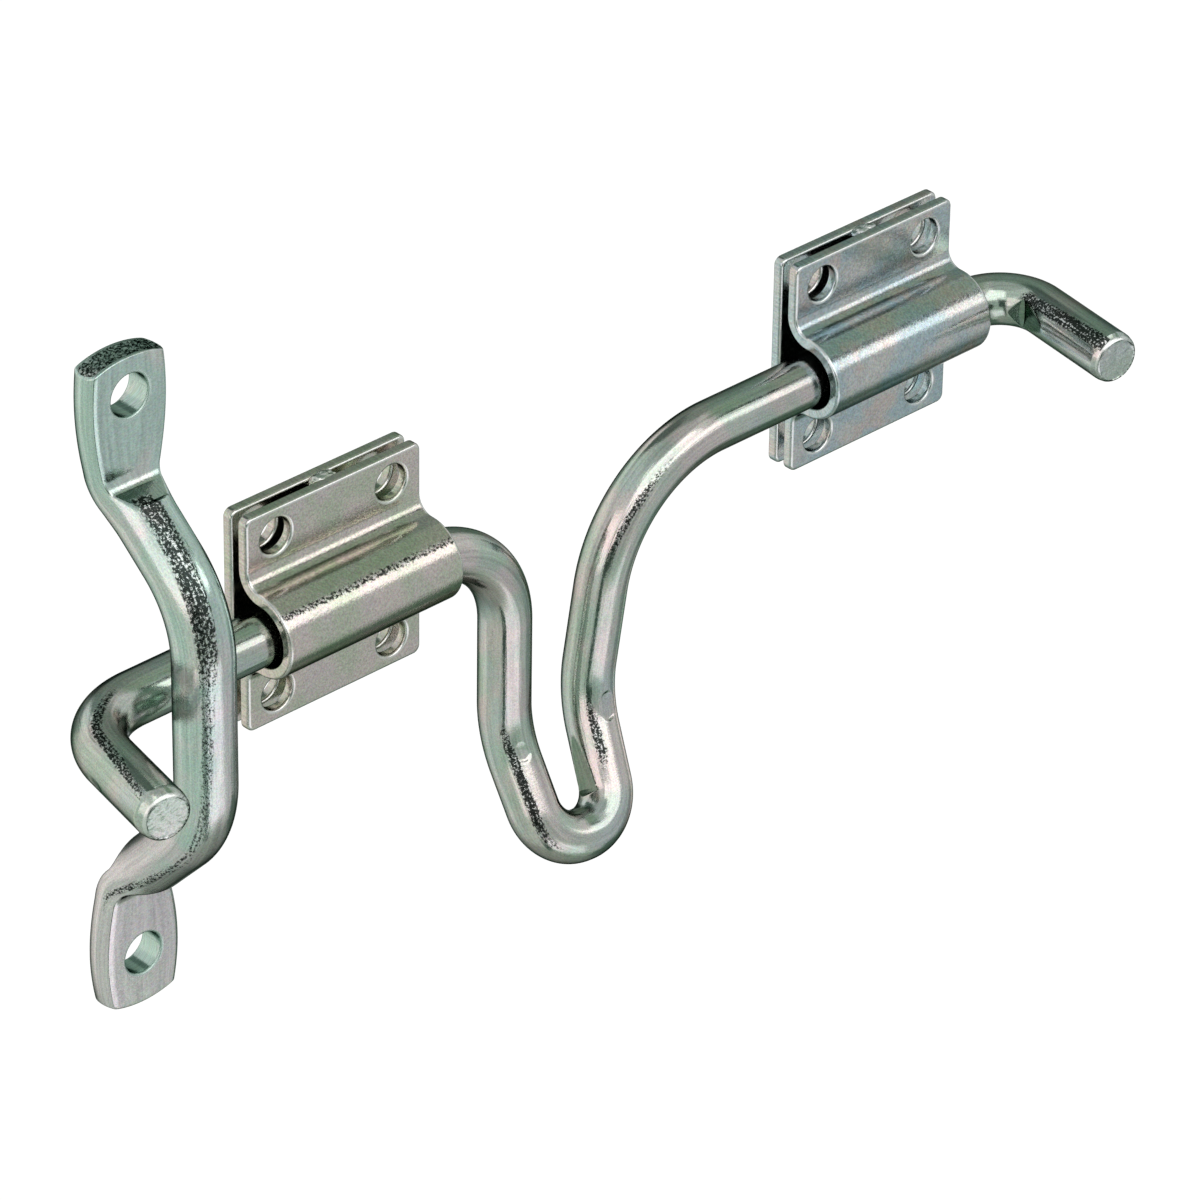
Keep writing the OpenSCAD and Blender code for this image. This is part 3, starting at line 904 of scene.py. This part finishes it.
class Nodes:
    """Short calls for building a node tree."""

    def __init__(self, tree):
        self.tree = tree
        tree.nodes.clear()

    def add(self, kind, inputs=None, **settings):
        node = self.tree.nodes.new("ShaderNode" + kind)
        for key, value in settings.items():
            setattr(node, key, value)
        for key, value in (inputs or {}).items():
            self.feed(node.inputs[key], value)
        return node

    def feed(self, socket, value):
        if isinstance(value, bpy.types.NodeSocket):
            self.tree.links.new(value, socket)
        else:
            socket.default_value = value

    def math(self, operation, *values, clamp=False):
        node = self.add("Math", operation=operation, use_clamp=clamp)
        for socket, value in zip(node.inputs, values):
            self.feed(socket, value)
        return node.outputs[0]

    def mix(self, factor, a, b):
        node = self.add("Mix", data_type="RGBA")
        self.feed(node.inputs[0], factor)
        self.feed(node.inputs[6], a)
        self.feed(node.inputs[7], b)
        return node.outputs[2]

    def remap(self, value, low, high, to_low=0.0, to_high=1.0, smooth=True):
        node = self.add("MapRange", interpolation_type="SMOOTHSTEP" if smooth else "LINEAR")
        for socket, given in zip(node.inputs, (value, low, high, to_low, to_high)):
            self.feed(socket, given)
        return node.outputs[0]

    def scaled(self, value, factor):
        return self.math("MULTIPLY", value, factor)

    def multiply(self, a, b):
        node = self.add("Mix", data_type="RGBA", blend_type="MULTIPLY")
        for index, value in ((0, 1.0), (6, a), (7, b)):
            self.feed(node.inputs[index], value)
        return node.outputs[2]

    def even(self, value):
        """A grey from one value."""
        return self.add("CombineColor", {"Red": value, "Green": value, "Blue": value}).outputs[0]

    def lift(self, noise_colour):
        """A noise colour stretched so that it is 1 on average."""
        node = self.add("VectorMath", operation="MULTIPLY_ADD")
        for socket, value in zip(node.inputs, (noise_colour, (2.4, 2.4, 2.4), (-0.2, -0.2, -0.2))):
            self.feed(socket, value)
        return node.outputs[0]

    def noise(self, vector, size, detail=2.0, rough=0.5):
        node = self.add(
            "TexNoise",
            {"Vector": vector, "Scale": 1 / size, "Detail": detail, "Roughness": rough},
        )
        return node.outputs["Fac"]

    def stretch(self, vector, factors):
        node = self.add("VectorMath", operation="MULTIPLY")
        self.feed(node.inputs[0], vector)
        self.feed(node.inputs[1], factors)
        return node.outputs[0]

    def shift(self, vector, by):
        node = self.add("VectorMath", operation="ADD")
        self.feed(node.inputs[0], vector)
        self.feed(node.inputs[1], by)
        return node.outputs[0]


def colour(r, g, b):
    return (r, g, b, 1.0)


# Tints of the passivation: the two main colours and the colour of the patches
BOLT_TINTS = ((0.55, 0.65, 0.57), (0.74, 0.68, 0.66), (0.60, 0.67, 0.66))
STRIKE_TINTS = ((0.62, 0.78, 0.72), (0.83, 0.78, 0.80), (0.76, 0.79, 0.75))
LEFT_TINTS = ((0.77, 0.70, 0.65), (0.63, 0.67, 0.55), (0.74, 0.68, 0.66))
RIGHT_TINTS = ((0.54, 0.66, 0.70), (0.70, 0.71, 0.69), (0.74, 0.65, 0.62))


def zinc(name, tints, drawn, grain, speckle, seed, drift=0.0):
    """Zinc plating on steel.

    drawn is the depth of lengthwise streaks, grain that of the fine grain, and speckle the strength
    of the coloured flecks. seed shifts the patterns, and drift turns the first tint into the second
    along the piece, per millimetre.
    Where the layer for coarse skin is set, the skin is coarse and its colour has painted dark reflection and
    painted glints; where "sheared" is set it is torn;
    where the edge layer is set, a near-white painted highlight brightens the colour; and where "pressed" is
    set it is darker.
    """
    material = bpy.data.materials.new(name)
    material.use_nodes = True
    n = Nodes(material.node_tree)
    place = n.add("Attribute", attribute_name="straight").outputs["Vector"]
    along = n.scaled(n.add("SeparateXYZ", {"Vector": place}).outputs["Z"], drift)
    place = n.shift(place, (seed, seed * 1.7, seed * 0.6))
    wrinkle = n.add("Attribute", attribute_name="wrinkle").outputs["Fac"]
    sheared = n.add("Attribute", attribute_name="sheared").outputs["Fac"]
    edge = n.add("Attribute", attribute_name="worn").outputs["Fac"]
    pressed = n.add("Attribute", attribute_name="pressed").outputs["Fac"]
    cloud = n.noise(place, 13, 3)
    patch = n.noise(n.shift(n.stretch(place, (1, 1, 0.5)), (40, 0, 90)), 9, 4)
    fine = n.noise(place, 0.42, 2, 0.7)
    coarse = n.noise(place, 0.6, 3, 0.65)
    streak = n.noise(n.stretch(place, (1, 1, 0.04)), 0.7, 3, 0.65)
    dull = n.noise(place, 3.4, 4, 0.6)

    cloud = n.math("ADD", cloud, along)
    base = n.mix(n.remap(cloud, 0.38, 0.62), colour(*tints[0]), colour(*tints[1]))
    base = n.mix(n.remap(patch, 0.50, 0.66, 0, 0.85), base, colour(*tints[2]))
    flecks = n.add("TexNoise", {"Vector": n.shift(place, (7, 31, 3)), "Scale": 2.4, "Detail": 2.0})
    base = n.mix(speckle, base, n.multiply(base, n.lift(flecks.outputs["Color"])))
    worn = n.math("ADD", n.scaled(streak, 0.5), n.scaled(fine, 0.5))
    base = n.multiply(base, n.even(n.remap(worn, 0.36, 0.60, 0.75, 1.14, False)))
    # Near-black pits and near-white flakes in the colour: on torn ends a rough surface, on the coarse bands
    # a painted dark reflection and painted glints
    pitted_and_painted_reflection = n.math("MAXIMUM", wrinkle, n.remap(sheared, 0.4, 1.0, 0.0, 0.7, False))
    pattern = n.math("ADD", n.scaled(coarse, 0.72), n.scaled(streak, 0.28))
    pits_and_painted_dark = n.remap(n.math("SUBTRACT", pattern, n.scaled(pitted_and_painted_reflection, 0.15)), 0.46, 0.35)
    pits_and_painted_dark = n.math("MULTIPLY", pits_and_painted_dark, n.remap(pitted_and_painted_reflection, 0.02, 0.5))
    base = n.mix(n.scaled(pits_and_painted_dark, 0.95), base, colour(0.012, 0.018, 0.016))
    flakes_and_painted_glints = n.math("MULTIPLY", n.remap(pattern, 0.52, 0.60), n.scaled(pitted_and_painted_reflection, 0.7))
    base = n.mix(flakes_and_painted_glints, base, colour(0.93, 0.95, 0.96))
    # A painted highlight: near-white mixed into the colour where the edge layer is set, in patches
    painted_edge_highlight = n.math("MULTIPLY", edge, n.remap(patch, 0.36, 0.50, 0.45, 1.0))
    base = n.mix(n.scaled(painted_edge_highlight, 0.75), base, colour(0.93, 0.95, 0.94))
    # Darker green-grey colour on the pressed flats
    base = n.mix(pressed, base, n.multiply(base, colour(0.34, 0.43, 0.37)))

    rough = n.remap(dull, 0.3, 0.7, 0.085, 0.165)
    rough = n.math("ADD", rough, n.scaled(sheared, 0.10))
    rough = n.math("ADD", rough, n.scaled(edge, 0.10))
    height = n.math("ADD", n.scaled(fine, grain), n.scaled(streak, drawn))
    height = n.math("ADD", height, n.scaled(dull, 0.9))
    coarser = n.math("MULTIPLY", coarse, n.math("ADD", n.scaled(wrinkle, 5.0), n.scaled(sheared, 3.4)))
    height = n.math("ADD", height, coarser)
    bump = n.add("Bump", {"Height": height, "Distance": 0.00003, "Strength": 1.0})
    shader = n.add("BsdfPrincipled", {
        "Base Color": base,
        "Roughness": rough,
        "Normal": bump.outputs[0],
    })
    shader.inputs["Metallic"].default_value = 1.0
    shader.inputs["Specular Tint"].default_value = colour(0.05, 0.07, 0.06)
    n.add("OutputMaterial", {"Surface": shader.outputs[0]})
    return material


# Studio

OBJECT_MIDDLE = (0.066, -0.024, -0.023)
PHOTO_WAY = (0.588, 0.614, -0.527)


def studio_light(n, way):
    """What the metal sees in each direction: softboxes, dark cards and the ground, all in linear light."""
    parts = n.add("SeparateXYZ", {"Vector": way})
    x, y, z = parts.outputs
    turn = n.math("DEGREES", n.math("ARCTAN2", x, n.math("MULTIPLY", y, -1.0)))
    rise = n.math("DEGREES", n.math("ARCSINE", z))

    def panel(under, azimuth, elevation, soft, light):
        middle, half = (azimuth[0] + azimuth[1]) / 2, (azimuth[1] - azimuth[0]) / 2
        off = n.math("ABSOLUTE", n.math("WRAP", n.math("SUBTRACT", turn, middle), 180.0, -180.0))
        across = n.remap(off, half + soft, half - soft)
        up_mid, up_half = (elevation[0] + elevation[1]) / 2, (elevation[1] - elevation[0]) / 2
        up = n.math("ABSOLUTE", n.math("SUBTRACT", rise, up_mid))
        inside = n.remap(up, up_half + soft, up_half - soft)
        return n.mix(n.math("MULTIPLY", across, inside), under, colour(*light))

    light = n.mix(n.remap(rise, -66, -50), colour(0.30, 0.34, 0.30), colour(0.48, 0.55, 0.49))
    light = n.mix(n.remap(rise, -14, 0), light, colour(0.60, 0.63, 0.61))
    light = n.mix(n.remap(rise, 63, 68), light, colour(0.44, 0.46, 0.45))
    panels = (
        ((14, 58), (-46, 18), 4, (0.50, 0.52, 0.52)),
        ((60, 88), (-46, -14), 5, (0.34, 0.38, 0.38)),
        ((-178, -124), (-42, 28), 6, (0.80, 0.81, 0.75)),
        ((112, 182), (0, 70), 6, (0.22, 0.28, 0.24)),
        ((150, 186), (32, 62), 4, (0.10, 0.14, 0.12)),
        ((160, 186), (8, 28), 4, (0.90, 0.92, 0.88)),
        ((-120, -56), (-44, 4), 6, (0.54, 0.60, 0.54)),
        ((-100, -56), (0, 36), 4, (1.20, 1.10, 1.08)),
        ((-38, 22), (-50, -20), 4, (0.98, 0.97, 1.00)),
        ((-24, 6), (-12, 16), 6, (0.38, 0.44, 0.41)),
        ((-54, -24), (-8, 21), 2, (0.05, 0.08, 0.065)),
        ((-53, -40), (-60, -8), 2, (0.06, 0.10, 0.08)),
        ((-50, 32), (29, 62), 1.5, (1.50, 1.47, 1.45)),
        ((-16, 50), (21, 39), 1.5, (1.50, 1.47, 1.45)),
        ((58, 112), (42, 62), 4, (0.27, 0.34, 0.27)),
        ((46, 62), (40, 47), 1, (0.03, 0.05, 0.04)),
        ((88, 128), (-37, -8), 3, (1.60, 1.57, 1.56)),
        ((46, 86), (-64, -38), 4, (0.12, 0.18, 0.14)),
        ((86, 150), (-62, -43), 3, (0.13, 0.20, 0.15)),
        ((142, 158), (-40, 8), 3, (0.05, 0.08, 0.065)),
        ((162, 182), (-32, -4), 4, (0.32, 0.37, 0.33)),
    )
    for azimuth, elevation, soft, tone in panels:
        light = panel(light, azimuth, elevation, soft, tone)
    return light


def white_backdrop(n, way):
    """Where the white shows: to the camera everywhere, and to the metal straight behind the object."""
    paths = n.add("LightPath")
    near = n.add("VectorMath", operation="DOT_PRODUCT")
    n.feed(near.inputs[0], way)
    n.feed(near.inputs[1], PHOTO_WAY)
    behind = n.remap(near.outputs["Value"], 0.994, 0.997)
    other = n.math("ADD", paths.outputs["Is Glossy Ray"], paths.outputs["Is Transmission Ray"])
    other = n.math("MULTIPLY", other, behind)
    return n.math("ADD", paths.outputs["Is Camera Ray"], other, clamp=True)


def make_world():
    """A white studio. The metal sees softboxes, dark cards and the white backdrop behind the object."""
    world = bpy.data.worlds.new("studio")
    world.use_nodes = True
    bpy.context.scene.world = world
    n = Nodes(world.node_tree)
    way = n.add("TexCoord").outputs["Generated"]
    light = n.mix(white_backdrop(n, way), studio_light(n, way), colour(1, 1, 1))
    background = n.add("Background", {"Color": light})
    n.add("OutputWorld", {"Surface": background.outputs[0]})


FLOOR_HALF = 4.0
FLOOR_Z = -0.4


def make_floor():
    """A pale floor that keeps the object's shadow. The metal sees the dark cards that lie on it."""
    mesh = bpy.data.meshes.new("floor")
    corners = [
        (x * FLOOR_HALF, y * FLOOR_HALF, FLOOR_Z) for x, y in ((-1, -1), (1, -1), (1, 1), (-1, 1))
    ]
    mesh.from_pydata(corners, [], [(0, 1, 2, 3)])
    floor = bpy.data.objects.new("floor", mesh)
    bpy.context.scene.collection.objects.link(floor)
    material = bpy.data.materials.new("pale floor")
    material.use_nodes = True
    n = Nodes(material.node_tree)
    spot = n.add("VectorMath", operation="SUBTRACT")
    n.feed(spot.inputs[0], n.add("NewGeometry").outputs["Position"])
    n.feed(spot.inputs[1], OBJECT_MIDDLE)
    way = n.add("VectorMath", operation="NORMALIZE")
    n.feed(way.inputs[0], spot.outputs[0])
    way = way.outputs[0]
    white = white_backdrop(n, way)
    pale = n.add("AddShader")
    n.feed(pale.inputs[0], n.add("BsdfDiffuse", {"Color": colour(0.3, 0.3, 0.3)}).outputs[0])
    n.feed(pale.inputs[1], n.add("Emission", {"Strength": n.scaled(white, 0.85)}).outputs[0])
    cards = n.add("Emission", {"Color": studio_light(n, way)})
    glossy = n.add("LightPath").outputs["Is Glossy Ray"]
    both = n.add("MixShader", {"Fac": n.math("SUBTRACT", glossy, white, clamp=True)})
    n.feed(both.inputs[1], pale.outputs[0])
    n.feed(both.inputs[2], cards.outputs[0])
    n.add("OutputMaterial", {"Surface": both.outputs[0]})
    mesh.materials.append(material)


def make_camera():
    """The photograph's view, with the image taken as 1200 by 1200."""
    azimuth, elevation, roll = (math.radians(a) for a in (-43.748, 31.8268, 0.8989))
    right = Vector((math.cos(azimuth), math.sin(azimuth), 0))
    back = Vector((
        math.sin(azimuth) * math.cos(elevation),
        -math.cos(azimuth) * math.cos(elevation),
        math.sin(elevation),
    ))
    up = back.cross(right)
    side = right * math.cos(roll) + up * math.sin(roll)
    top = up * math.cos(roll) - right * math.sin(roll)
    centre = Vector((66.110, -24.050, -23.108))
    place = centre + back * 1643.7
    camera = bpy.data.objects.new("camera", bpy.data.cameras.new("camera"))
    camera.data.sensor_width = 36
    camera.data.lens = 216.05
    camera.data.clip_end = 20
    matrix = Matrix((side, top, back)).transposed().to_4x4()
    matrix.translation = place * MM
    camera.matrix_world = matrix
    bpy.context.scene.collection.objects.link(camera)
    bpy.context.scene.camera = camera


make_camera()
bpy.context.scene.view_settings.view_transform = "Standard"
make_world()
make_floor()

bolt = make_bolt()
strike = make_strike()
plates = make_guides()

bolt.data.materials.append(zinc("bolt zinc", BOLT_TINTS, drawn=0.9, grain=0.5, speckle=0.2, seed=3.0))
strike.data.materials.append(
    zinc("strike zinc", STRIKE_TINTS, drawn=0.35, grain=0.7, speckle=0.2, seed=41.0, drift=0.003)
)
for number, piece in enumerate(plates):
    tints = LEFT_TINTS if number < 3 else RIGHT_TINTS
    seed = 83.0 + 17 * number
    piece.data.materials.append(
        zinc(piece.name + " zinc", tints, drawn=0.25, grain=0.9, speckle=0.24, seed=seed)
    )
